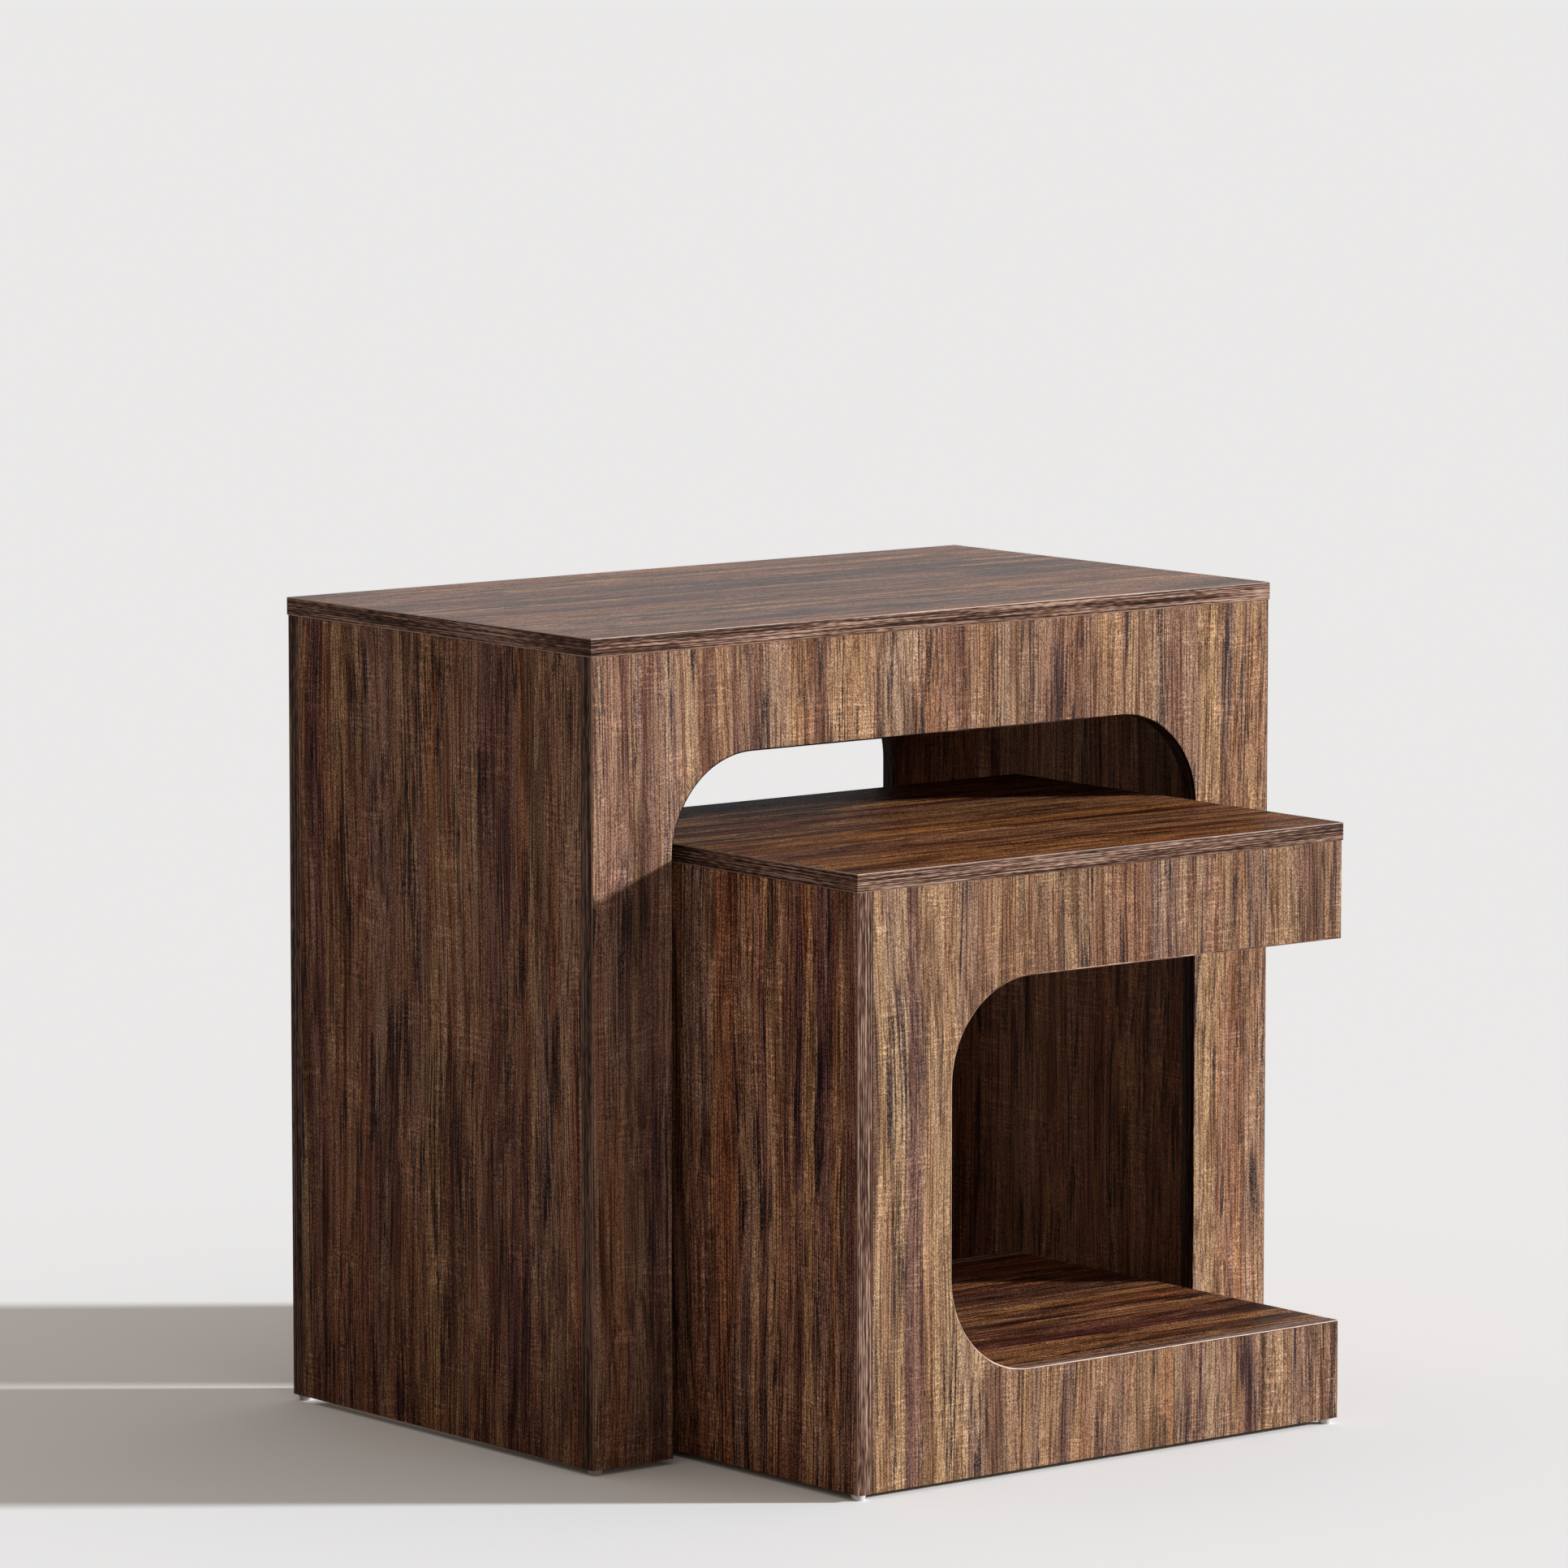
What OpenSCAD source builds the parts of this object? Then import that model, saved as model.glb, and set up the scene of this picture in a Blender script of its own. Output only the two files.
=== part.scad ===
// Pair of nesting side tables in melamine-faced board, half drawn apart.
// The large table stands on two arch panels that hold a side panel between them at each end.
// The small table is a C, closed by one side panel at its left and open at its right,
// and it slides in under the large table's arches.
// Origin: on the floor, in the middle of the area that the pair covers.

/* [Both tables] */
// Width of the large table's top
large_w = 580; // [500:1:760]
// Depth of each table's top, from front to back
table_d = 335; // [290:1:450]
// Height of the large table, from the floor to its upper face
large_h = 545; // [480:1:700]
// How far the small table stands forward of its nested place
small_drawn = 167.5; // [0:0.5:400]
// How far each top reaches past the panels under it
top_overhang = 0.5; // [0:0.5:10]

/* [Large table] */
// Width of each leg of an arch panel
large_leg = 65.5; // [50:0.5:90]
// Depth of an arch panel's lintel, below the top
large_lintel = 70; // [50:0.5:100]
// Radius of the arch's two upper corners
large_corner_r = 65.5; // [20:0.5:90]

/* [Small table] */
// Free width between the small table and each leg of the large one
nest_side_gap = 17.25; // [4:0.25:40]
// Free height between the small table and the large table's lintels
nest_head_gap = 59; // [10:1:110]
// Width of a C frame's upright, beside the side panel
small_leg = 66; // [50:0.5:110]
// Depth of a C frame's lintel, below the top
small_lintel = 65.5; // [56:0.5:95]
// Height of a C frame's bottom rail, whose upper edge is level with the shelf
small_rail = 66; // [60:0.5:95]
// Radius of a C frame's two inner corners
small_corner_r = 66; // [20:0.5:80]

/* [Boards] */
// Thickness of every board
board_t = 12; // [11:0.5:18]
// Thickness of the edge banding
band_t = 1; // [0.4:0.1:2]

/* [Glides] */
// Height of a glide
glide_h = 4; // [3:0.5:12]
// Diameter of a glide where it meets the board
glide_top_d = 10; // [8:0.5:11]
// Diameter of a glide on the floor
glide_foot_d = 8; // [6:0.5:9]
// Diameter of a glide's nail
nail_d = 1.6; // [1.2:0.1:2.2]
// How deep a nail goes into the board
nail_grip = 12; // [8:0.5:18]
// Diameter of a nail's head
nail_head_d = 3.6; // [3:0.1:4.4]
// Thickness of a nail's head
nail_head_t = 0.8; // [0.5:0.1:1.2]
// Depth of the plastic that a nail's head is sunk behind
nail_sunk = 0.7; // [0.3:0.1:1]

/* [Fittings] */
// Diameter of a cam
cam_d = 12; // [10:0.5:14]
// How far a cam reaches past the middle of its board
cam_reach = 3.5; // [3:0.25:4.5]
// Distance from a board's edge to the middle of its cams
cam_setback = 24; // [18:0.5:32]
// How much farther from a corner one joint's first cam is than the other's
cam_stagger = 13; // [13:1:40]
// Distance from a large side board's foot to its lowest cams
foot_cam_inset = 24; // [22:1:60]
// Diameter of a cam bolt's thread and head
bolt_d = 5; // [4:0.1:5.5]
// Diameter of a cam bolt's neck
bolt_neck_d = 3; // [2.5:0.1:3.8]
// How deep a cam bolt is screwed into the face of a board
bolt_grip = 8; // [6:0.5:9]
// Length of a cam bolt's head
bolt_head_h = 2.4; // [1.5:0.1:3]
// Length of a cam bolt's neck
bolt_neck_h = 5; // [4:0.5:8]
// Width of the slots in a cam's face
cam_slot_w = 1.4; // [1:0.1:2]
// Length of the slots in a cam's face
cam_slot_l = 7; // [5:0.5:9]
// Depth of the slots in a cam's face
cam_slot_h = 1.6; // [0.8:0.1:2]
// Diameter of a dowel
dowel_d = 6; // [5:0.5:8]
// Length of a dowel
dowel_len = 25; // [20:1:32]
// How much of a dowel is in the face of a board
dowel_grip = 8; // [6:0.5:9]
// Length of the bevel at a dowel's ends
dowel_bevel = 0.8; // [0.4:0.1:1.5]
// Distance along a joint between a cam and the dowel beside it
dowel_pitch = 32; // [16:1:48]
// Distance from an end rail's lower edge to its cam
rail_cam_inset = 20; // [17:0.5:22]
// Distance from an end rail's upper edge to its dowel
rail_dowel_inset = 16; // [10:0.5:18]
// Free space round each fitting in its hole, and at the hole's end
fit_gap = 0.1; // [0.05:0.05:0.3]

/* [Hidden] */
$fn = 64;

// Clearance by which a cut runs out of the piece that it cuts
cut = 1;

// Large table, in a frame of its own: on the floor, with its middle at the origin
large_body_w = large_w - 2 * top_overhang;
body_d = table_d - 2 * top_overhang;
inner_d = body_d - 2 * board_t;
large_under = large_h - board_t;
large_open_w = large_body_w - 2 * large_leg;
large_open_top = large_under - large_lintel;

// Small table, in a frame of its own like the large one's
small_w = large_open_w - 2 * nest_side_gap;
small_h = large_open_top - nest_head_gap;
small_body_w = small_w - 2 * top_overhang;
small_under = small_h - board_t;
small_right = small_body_w / 2;
frame_left = -small_right + board_t;
frame_w = small_right - frame_left;
bay_left = frame_left + small_leg;
bay_top = small_under - small_lintel;
shelf_top = glide_h + small_rail;
shelf_under = shelf_top - board_t;

// Places of the two tables in the pair
large_y = small_drawn / 2;
small_y = -small_drawn / 2;

// Height of a cam: from its board's inner face to a little past the middle of the board
cam_h = board_t / 2 + cam_reach;
// How far a cam bolt's head goes past the middle of its cam
bolt_past = bolt_head_h / 2;
bolt_bore_d = bolt_d + 1;

// A joint is [start, turn, places of its cams, places of its dowels].
// Its own X runs along the line where one board's edge meets the other board's face,
// at the middle of the edge; Z goes into the edge board and Y to that board's cam side.
cam_inset = cam_setback + cam_stagger;
dowel_inset = cam_inset + dowel_pitch;
function cam_places(len) = [cam_inset, len - cam_inset];
function dowel_places(len) = [dowel_inset, len / 2, len - dowel_inset];
function long_joint(start, turn, len) = [start, turn, cam_places(len), dowel_places(len)];
function foot_joint(start, turn, len) =
    [start, turn, [foot_cam_inset, len - cam_inset], dowel_places(len)];
function rail_joint(start, turn, len) = [start, turn, [len - rail_cam_inset], [rail_dowel_inset]];

arch_mid_y = -body_d / 2 + board_t / 2;
arch_in_y = -body_d / 2 + board_t;
side_mid_x = -large_body_w / 2 + board_t / 2;
small_side_mid_x = -small_right + board_t / 2;

large_top_arch = long_joint(
    [large_body_w / 2, arch_mid_y, large_under], [0, 180, 0], large_body_w);
large_top_side = long_joint(
    [side_mid_x, -inner_d / 2, large_under], [180, 0, 90], inner_d);
large_arch_side = foot_joint(
    [side_mid_x, arch_in_y, glide_h], [0, -90, -90], large_under - glide_h);

small_top_frame = long_joint(
    [small_right, arch_mid_y, small_under], [0, 180, 0], frame_w);
small_top_side = long_joint(
    [small_side_mid_x, -body_d / 2, small_under], [180, 0, 90], body_d);
small_side_frame = long_joint(
    [frame_left, arch_mid_y, small_under], [0, 90, 0], small_under - glide_h);
small_frame_shelf = long_joint(
    [frame_left, arch_in_y, shelf_top - board_t / 2], [-90, 0, 0], frame_w);
small_side_shelf = long_joint(
    [frame_left, inner_d / 2, shelf_top - board_t / 2], [-90, 0, -90], inner_d);
small_frame_top_rail = rail_joint(
    [small_right - board_t / 2, arch_in_y, small_under], [0, 90, 90], small_lintel);
small_frame_base_rail = rail_joint(
    [small_right - board_t / 2, arch_in_y, shelf_under], [0, 90, 90], shelf_under - glide_h);

// ---- placing ----

module on_large() translate([0, large_y, 0]) children();
module on_small() translate([0, small_y, 0]) children();

module left_and_right() {
    children();
    mirror([1, 0, 0]) children();
}

module front_and_back() {
    children();
    mirror([0, 1, 0]) children();
}

module at_places(joint, places)
    for (place = places)
        translate(joint[0]) rotate(joint[1]) translate([place, 0, 0]) children();

module at_cams(joint) at_places(joint, joint[2]) children();
module at_dowels(joint) at_places(joint, joint[3]) children();

// A box from its lowest corner to its highest
module block(low, high) translate(low) cube(high - low);

// ---- fittings, at the origin of their joint ----

// Zinc cam, turned from the board's inner face, with a bore for the bolt's head
module cam()
    difference() {
        translate([0, board_t / 2, cam_setback]) rotate([90, 0, 0]) cylinder(d = cam_d, h = cam_h);
        translate([0, 0, cam_setback - cam_d]) cylinder(d = bolt_bore_d, h = cam_d + bolt_d / 2);
        for (turn = [0, 90])
            translate([0, board_t / 2, cam_setback]) rotate([0, turn, 0])
                cube([cam_slot_l, 2 * cam_slot_h, cam_slot_w], center = true);
    }

// Steel bolt, screwed into the face of one board and caught by the cam in the other
module cam_bolt() {
    head_z = cam_setback + bolt_past - bolt_head_h;
    neck_z = head_z - bolt_neck_h;
    rotate_extrude()
        polygon([
            [0, -bolt_grip], [bolt_d / 2 - 1, -bolt_grip], [bolt_d / 2, 1 - bolt_grip],
            [bolt_d / 2, neck_z], [bolt_neck_d / 2, neck_z + 1],
            [bolt_neck_d / 2, head_z], [bolt_d / 2, head_z],
            [bolt_d / 2, head_z + bolt_head_h / 2], [bolt_neck_d / 2, head_z + bolt_head_h],
            [0, head_z + bolt_head_h]
        ]);
}

module cam_hole() {
    translate([0, 0, -bolt_grip - fit_gap])
        cylinder(d = bolt_d + 2 * fit_gap, h = bolt_grip + fit_gap + cam_setback);
    translate([0, board_t / 2 + cut, cam_setback]) rotate([90, 0, 0])
        cylinder(d = cam_d + 2 * fit_gap, h = cam_h + fit_gap + cut);
}

// Beech dowel with bevelled ends
module dowel()
    translate([0, 0, -dowel_grip])
        rotate_extrude()
            polygon([
                [0, 0], [dowel_d / 2 - dowel_bevel, 0], [dowel_d / 2, dowel_bevel],
                [dowel_d / 2, dowel_len - dowel_bevel], [dowel_d / 2 - dowel_bevel, dowel_len],
                [0, dowel_len]
            ]);

module dowel_hole()
    translate([0, 0, -dowel_grip - fit_gap])
        cylinder(d = dowel_d + 2 * fit_gap, h = dowel_len + 2 * fit_gap);

module joint_holes(joint) {
    at_cams(joint) cam_hole();
    at_dowels(joint) dowel_hole();
}

// ---- glides, with the middle of their foot at the origin ----

module glide()
    difference() {
        cylinder(d1 = glide_foot_d, d2 = glide_top_d, h = glide_h);
        translate([0, 0, -cut]) cylinder(d = nail_d + 2 * fit_gap, h = glide_h + 2 * cut);
        translate([0, 0, -cut]) cylinder(d = nail_head_d + 2 * fit_gap, h = nail_sunk + nail_head_t + cut);
    }

module glide_nail()
    translate([0, 0, nail_sunk])
        rotate_extrude()
            polygon([
                [0, 0], [nail_head_d / 2, 0], [nail_head_d / 2, nail_head_t],
                [nail_d / 2, nail_head_t], [nail_d / 2, glide_h + nail_grip - nail_sunk - nail_d],
                [0, glide_h + nail_grip - nail_sunk]
            ]);

module nail_hole() cylinder(d = nail_d + 2 * fit_gap, h = glide_h + nail_grip + fit_gap);

// The four corners of a table whose legs are body_w wide in all, half a board in from each face
module at_feet(body_w)
    left_and_right() front_and_back()
        translate([-body_w / 2 + board_t / 2, arch_mid_y, 0]) children();

// ---- outlines, in the plane of the panels: X across, Y up ----

// The arch's opening, grown by the thickness of the banding or not
module arch_opening(grow) {
    r = large_corner_r + grow;
    half_w = large_open_w / 2 + grow;
    top = large_open_top + grow;
    translate([-half_w, 0]) square([2 * half_w, top - r]);
    translate([-half_w + r, 0]) square([2 * (half_w - r), top]);
    for (side = [-1, 1])
        translate([side * (half_w - r), top - r]) circle(r);
}

// The C frame's opening, which runs out at the right
module bay_opening(grow) {
    r = small_corner_r + grow;
    left = bay_left - grow;
    low = shelf_top - grow;
    high = bay_top + grow;
    translate([left, low + r]) square([small_right + cut - left, high - low - 2 * r]);
    translate([left + r, low]) square([small_right + cut - left - r, high - low]);
    for (y = [low + r, high - r])
        translate([left + r, y]) circle(r);
}

// A C frame's outline: finished, or cut back by the banding on its inner and right-hand edges
module frame_outline(bare)
    difference() {
        translate([frame_left, glide_h])
            square([frame_w - bare, small_under - glide_h]);
        bay_opening(bare);
    }

// An upright panel's thickness, from its outer face at the front
module upright() translate([0, -body_d / 2 + board_t, 0]) rotate([90, 0, 0])
    linear_extrude(board_t) children();

// ---- boards and banding that both tables have ----

// Core of a top, w wide, with its upper face at height h
module top_core(w, h)
    block([-w / 2 + band_t, -table_d / 2 + band_t, h - board_t],
          [w / 2 - band_t, table_d / 2 - band_t, h]);

// Banding all round a top, as one ring
module top_banding(w, h)
    translate([0, 0, h - board_t]) linear_extrude(board_t) difference() {
        square([w, table_d], center = true);
        square([w - 2 * band_t, table_d - 2 * band_t], center = true);
    }

// ---- large table ----

module large_top()
    color("#8c7a70") on_large() difference() {
        top_core(large_w, large_h);
        front_and_back() joint_holes(large_top_arch);
        left_and_right() joint_holes(large_top_side);
    }

module large_top_edging()
    color("#5b4a40") on_large() top_banding(large_w, large_h);

module arch_panel()
    difference() {
        upright() difference() {
            translate([-large_body_w / 2 + band_t, glide_h])
                square([large_body_w - 2 * band_t, large_under - glide_h]);
            arch_opening(band_t);
        }
        joint_holes(large_top_arch);
        left_and_right() joint_holes(large_arch_side);
        at_feet(large_body_w) nail_hole();
    }

module arch_banding() {
    upright() difference() {
        intersection() {
            arch_opening(band_t);
            translate([-large_open_w, glide_h]) square([2 * large_open_w, large_under]);
        }
        arch_opening(0);
    }
    left_and_right()
        block([-large_body_w / 2, -body_d / 2, glide_h],
              [-large_body_w / 2 + band_t, -body_d / 2 + board_t, large_under]);
}

module large_front_arch() color("#a07c57") on_large() arch_panel();
module large_front_arch_edging() color("#3c2c22") on_large() arch_banding();
module large_back_arch() color("#6a4d36") on_large() mirror([0, 1, 0]) arch_panel();
module large_back_arch_edging() color("#3c2c22") on_large() mirror([0, 1, 0]) arch_banding();

module side_panel()
    difference() {
        block([-large_body_w / 2, -inner_d / 2, glide_h],
              [-large_body_w / 2 + board_t, inner_d / 2, large_under]);
        joint_holes(large_top_side);
        front_and_back() joint_holes(large_arch_side);
    }

module large_left_side() color("#4a3527") on_large() side_panel();
module large_right_side() color("#4a3527") on_large() mirror([1, 0, 0]) side_panel();

// Every joint of the large table, with each mirrored copy
module at_large_joints() {
    front_and_back() at_cams(large_top_arch) children();
    left_and_right() at_cams(large_top_side) children();
    left_and_right() front_and_back() at_cams(large_arch_side) children();
}

module large_cams() color("#b9bcc0") on_large() at_large_joints() cam();
module large_cam_bolts() color("#c9c6a8") on_large() at_large_joints() cam_bolt();

module large_dowels()
    color("#d9b98a") on_large() {
        front_and_back() at_dowels(large_top_arch) dowel();
        left_and_right() at_dowels(large_top_side) dowel();
        left_and_right() front_and_back() at_dowels(large_arch_side) dowel();
    }

module large_glides() color("#e6e4de") on_large() at_feet(large_body_w) glide();
module large_glide_nails() color("#b9bcc0") on_large() at_feet(large_body_w) glide_nail();

// ---- small table ----

module small_top()
    color("#8a5f3c") on_small() difference() {
        top_core(small_w, small_h);
        front_and_back() joint_holes(small_top_frame);
        joint_holes(small_top_side);
    }

module small_top_edging()
    color("#5b4030") on_small() top_banding(small_w, small_h);

module small_left_side()
    color("#5a3f2c") on_small() difference() {
        block([-small_right, -body_d / 2 + band_t, glide_h],
              [frame_left, body_d / 2 - band_t, small_under]);
        joint_holes(small_top_side);
        joint_holes(small_side_shelf);
        front_and_back() joint_holes(small_side_frame);
        at_feet(small_body_w) nail_hole();
    }

module small_left_side_edging()
    color("#8a6a4c") on_small() front_and_back()
        block([-small_right, -body_d / 2, glide_h],
              [frame_left, -body_d / 2 + band_t, small_under]);

module frame_panel()
    difference() {
        upright() frame_outline(band_t);
        joint_holes(small_top_frame);
        joint_holes(small_side_frame);
        joint_holes(small_frame_shelf);
        joint_holes(small_frame_top_rail);
        joint_holes(small_frame_base_rail);
        at_feet(small_body_w) nail_hole();
    }

module frame_banding() upright() difference() {
    frame_outline(0);
    frame_outline(band_t);
}

module small_front_frame() color("#a5835f") on_small() frame_panel();
module small_front_frame_edging() color("#c9b08e") on_small() frame_banding();
module small_back_frame() color("#6a4d36") on_small() mirror([0, 1, 0]) frame_panel();
module small_back_frame_edging() color("#3c2c22") on_small() mirror([0, 1, 0]) frame_banding();

module small_shelf()
    color("#6f4a30") on_small() difference() {
        block([frame_left, -inner_d / 2, shelf_under],
              [small_right - band_t, inner_d / 2, shelf_top]);
        joint_holes(small_side_shelf);
        front_and_back() joint_holes(small_frame_shelf);
    }

module small_shelf_edging()
    color("#5b4030") on_small()
        block([small_right - band_t, -inner_d / 2, shelf_under],
              [small_right, inner_d / 2, shelf_top]);

// Rails across the open end: one under the top, one under the shelf
module small_top_rail()
    color("#5a3f2c") on_small() difference() {
        block([small_right - board_t, -inner_d / 2, bay_top + band_t],
              [small_right, inner_d / 2, small_under]);
        front_and_back() joint_holes(small_frame_top_rail);
    }

module small_top_rail_edging()
    color("#5b4030") on_small()
        block([small_right - board_t, -inner_d / 2, bay_top],
              [small_right, inner_d / 2, bay_top + band_t]);

module small_base_rail()
    color("#5a3f2c") on_small() difference() {
        block([small_right - board_t, -inner_d / 2, glide_h],
              [small_right, inner_d / 2, shelf_under]);
        front_and_back() joint_holes(small_frame_base_rail);
    }

module at_small_cams() {
    front_and_back() {
        at_cams(small_top_frame) children();
        at_cams(small_side_frame) children();
        at_cams(small_frame_shelf) children();
        at_cams(small_frame_top_rail) children();
        at_cams(small_frame_base_rail) children();
    }
    at_cams(small_top_side) children();
    at_cams(small_side_shelf) children();
}

module small_cams() color("#b9bcc0") on_small() at_small_cams() cam();
module small_cam_bolts() color("#c9c6a8") on_small() at_small_cams() cam_bolt();

module small_dowels()
    color("#d9b98a") on_small() {
        front_and_back() {
            at_dowels(small_top_frame) dowel();
            at_dowels(small_side_frame) dowel();
            at_dowels(small_frame_shelf) dowel();
            at_dowels(small_frame_top_rail) dowel();
            at_dowels(small_frame_base_rail) dowel();
        }
        at_dowels(small_top_side) dowel();
        at_dowels(small_side_shelf) dowel();
    }

module small_glides() color("#e6e4de") on_small() at_feet(small_body_w) glide();
module small_glide_nails() color("#b9bcc0") on_small() at_feet(small_body_w) glide_nail();

large_top();
large_top_edging();
large_front_arch();
large_front_arch_edging();
large_back_arch();
large_back_arch_edging();
large_left_side();
large_right_side();
large_cams();
large_cam_bolts();
large_dowels();
large_glides();
large_glide_nails();
small_top();
small_top_edging();
small_left_side();
small_left_side_edging();
small_front_frame();
small_front_frame_edging();
small_back_frame();
small_back_frame_edging();
small_shelf();
small_shelf_edging();
small_top_rail();
small_top_rail_edging();
small_base_rail();
small_cams();
small_cam_bolts();
small_dowels();
small_glides();
small_glide_nails();
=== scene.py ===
from math import cos, radians, sin

import bpy
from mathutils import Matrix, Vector


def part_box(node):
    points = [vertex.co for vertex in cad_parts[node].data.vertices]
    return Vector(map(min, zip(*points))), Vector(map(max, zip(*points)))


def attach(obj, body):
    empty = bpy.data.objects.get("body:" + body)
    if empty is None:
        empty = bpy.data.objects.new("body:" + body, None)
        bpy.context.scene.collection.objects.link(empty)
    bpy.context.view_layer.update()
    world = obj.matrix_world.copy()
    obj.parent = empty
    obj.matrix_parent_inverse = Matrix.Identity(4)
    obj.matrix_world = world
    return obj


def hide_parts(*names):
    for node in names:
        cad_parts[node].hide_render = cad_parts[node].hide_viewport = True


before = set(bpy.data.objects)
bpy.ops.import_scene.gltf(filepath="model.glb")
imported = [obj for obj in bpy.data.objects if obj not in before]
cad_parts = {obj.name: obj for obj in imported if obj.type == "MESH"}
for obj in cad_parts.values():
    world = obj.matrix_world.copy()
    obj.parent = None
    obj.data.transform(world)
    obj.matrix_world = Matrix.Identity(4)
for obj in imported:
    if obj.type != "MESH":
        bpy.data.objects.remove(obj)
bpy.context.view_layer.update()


# ---- camera ----
# A long lens to the left of the tables' fronts and a little above them, so that their
# uprights stay almost parallel. It looks at a point between the two tables.

camera_azimuth = -38.6
camera_elevation = 7.1
camera_distance = 5.82
camera_lens = 200
camera_reach = 100
camera_aim = Vector((-0.04, 0.032, 0.421))


def direction(azimuth, elevation):
    """Unit vector from the tables to something that stands at that azimuth and elevation."""
    turn, rise = radians(azimuth), radians(elevation)
    return Vector((sin(turn) * cos(rise), -cos(turn) * cos(rise), sin(rise)))


bpy.ops.object.camera_add(
    location=camera_aim + camera_distance * direction(camera_azimuth, camera_elevation),
    rotation=(radians(90 - camera_elevation), 0, radians(camera_azimuth)),
)
camera = bpy.context.object
camera.name = "camera"
camera.data.lens = camera_lens
camera.data.clip_end = camera_reach
bpy.context.scene.camera = camera
bpy.context.scene.view_settings.view_transform = "Standard"


# ---- studio ----
# A low lamp like the sun from the front right, a wide softbox above it, and a weak warm light
# from all round. The floor is matt and pale. It also glows for the camera and in reflections, less where
# the tables hide the sky from it:
# painted light that lifts its shadow away from the tables and leaves painted shade close to them.

sun_azimuth = 52.6
sun_elevation = 16.5
sun_strength = 4.6
sun_width = 3.2
softbox_elevation = 55
softbox_strength = 0.30
softbox_width = 110
fill_light = (0.138, 0.098, 0.083, 1)
backdrop = (0.836, 0.840, 0.845, 1)
floor_size = 60
floor_colour = (0.80, 0.79, 0.78, 1)
floor_seen = (1.00, 1.06, 1.12, 1)
glow_reach = 0.6
floor_glow = (0.192, 0.187, 0.165, 1)


class Wire:
    """A node tree and one socket in it. Arithmetic on wires adds Math nodes to their tree."""

    def __init__(self, tree, socket=None):
        self.tree = tree
        self.socket = socket

    def node(self, kind, settings, values, output=0):
        """Adds a node, with its settings first and then its sockets' values or wires."""
        made = self.tree.nodes.new("ShaderNode" + kind)
        for name, setting in settings.items():
            if name == "stops":
                while len(made.color_ramp.elements) < len(setting):
                    made.color_ramp.elements.new(1)
                for element, (place, colour) in zip(made.color_ramp.elements, setting):
                    element.position = place
                    element.color = colour
            else:
                setattr(made, name, setting)
        for name, value in values.items():
            if isinstance(value, Wire):
                self.tree.links.new(value.socket, made.inputs[name])
            else:
                made.inputs[name].default_value = value
        return Wire(self.tree, made.outputs[output] if made.outputs else None)

    def maths(self, operation, first, second):
        return self.node("Math", {"operation": operation}, {0: first, 1: second})

    def __add__(self, other):
        return self.maths("ADD", self, other)

    __radd__ = __add__

    def __sub__(self, other):
        return self.maths("SUBTRACT", self, other)

    def __rsub__(self, other):
        return self.maths("SUBTRACT", other, self)

    def __mul__(self, other):
        return self.maths("MULTIPLY", self, other)

    __rmul__ = __mul__


def light_rays(tree):
    """1 for rays that show the studio itself, 0 for rays that carry its light to the tables."""
    camera_ray, glossy_ray, through_ray = (
        tree.node("LightPath", {}, {}, f"Is {kind} Ray") for kind in ("Camera", "Glossy", "Transmission")
    )
    return 1 - (1 - camera_ray) * (1 - glossy_ray) * (1 - through_ray)


def distant_lamp(name, elevation, strength, width):
    """A lamp so far off that its light is even, as wide in the sky as width says in degrees."""
    bpy.ops.object.light_add(type="SUN", rotation=(radians(90 - elevation), 0, radians(sun_azimuth)))
    lamp = bpy.context.object
    lamp.name = name
    lamp.data.energy = strength
    lamp.data.angle = radians(width)


distant_lamp("sun", sun_elevation, sun_strength, sun_width)
distant_lamp("softbox", softbox_elevation, softbox_strength, softbox_width)

world = bpy.data.worlds.new("studio")
bpy.context.scene.world = world
world.use_nodes = True
world.node_tree.nodes.clear()
sky = Wire(world.node_tree)
seen = light_rays(sky)
colour = sky.node("Mix", {"data_type": "RGBA"}, {0: seen, 6: fill_light, 7: backdrop}, 2)
sky.node("OutputWorld", {}, {"Surface": sky.node("Background", {}, {"Color": colour})})


def new_finish(name):
    """A new material and the empty tree in which its nodes are made."""
    material = bpy.data.materials.new(name)
    material.use_nodes = True
    material.node_tree.nodes.clear()
    return material, Wire(material.node_tree)


floor_paint, paint = new_finish("floor_paint")
seen = light_rays(paint)
colour = paint.node("Mix", {"data_type": "RGBA"}, {0: seen, 6: floor_colour, 7: floor_seen}, 2)
matt = paint.node("BsdfDiffuse", {}, {"Color": colour})
# Painted light and shade on the floor: it glows where it is open to the sky, and not close to the tables.
clear = paint.node("AmbientOcclusion", {}, {"Distance": glow_reach}, "AO")
painted_glow = paint.node("Emission", {}, {"Color": floor_glow, "Strength": seen * clear})
paint.node("OutputMaterial", {}, {"Surface": paint.node("AddShader", {}, {0: matt, 1: painted_glow})})

bpy.ops.mesh.primitive_plane_add(size=floor_size)
floor = bpy.context.object
floor.name = "floor"
floor.data.materials.append(floor_paint)


# ---- large top ----
# Chipboard faced with a printed walnut decor, cut to size and banded on all four edges.
# It lies on the uprights, held by cam bolts that are screwed into its underside.

TOUCH = 1e-5
band_thickness = 0.001
band_arris = 0.0005
arris_steps = 3
smooth_angle = radians(40)


def select_only(piece):
    """Selects one piece and makes it the active one."""
    bpy.ops.object.select_all(action="DESELECT")
    piece.select_set(True)
    bpy.context.view_layer.objects.active = piece


def block(name, low, high):
    """A new box from its lowest corner to its highest, with its place in its mesh."""
    bpy.ops.object.select_all(action="DESELECT")
    bpy.ops.mesh.primitive_cube_add(size=1, location=(low + high) / 2, scale=high - low)
    bpy.ops.object.transform_apply()
    piece = bpy.context.object
    piece.name = name
    return piece


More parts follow.
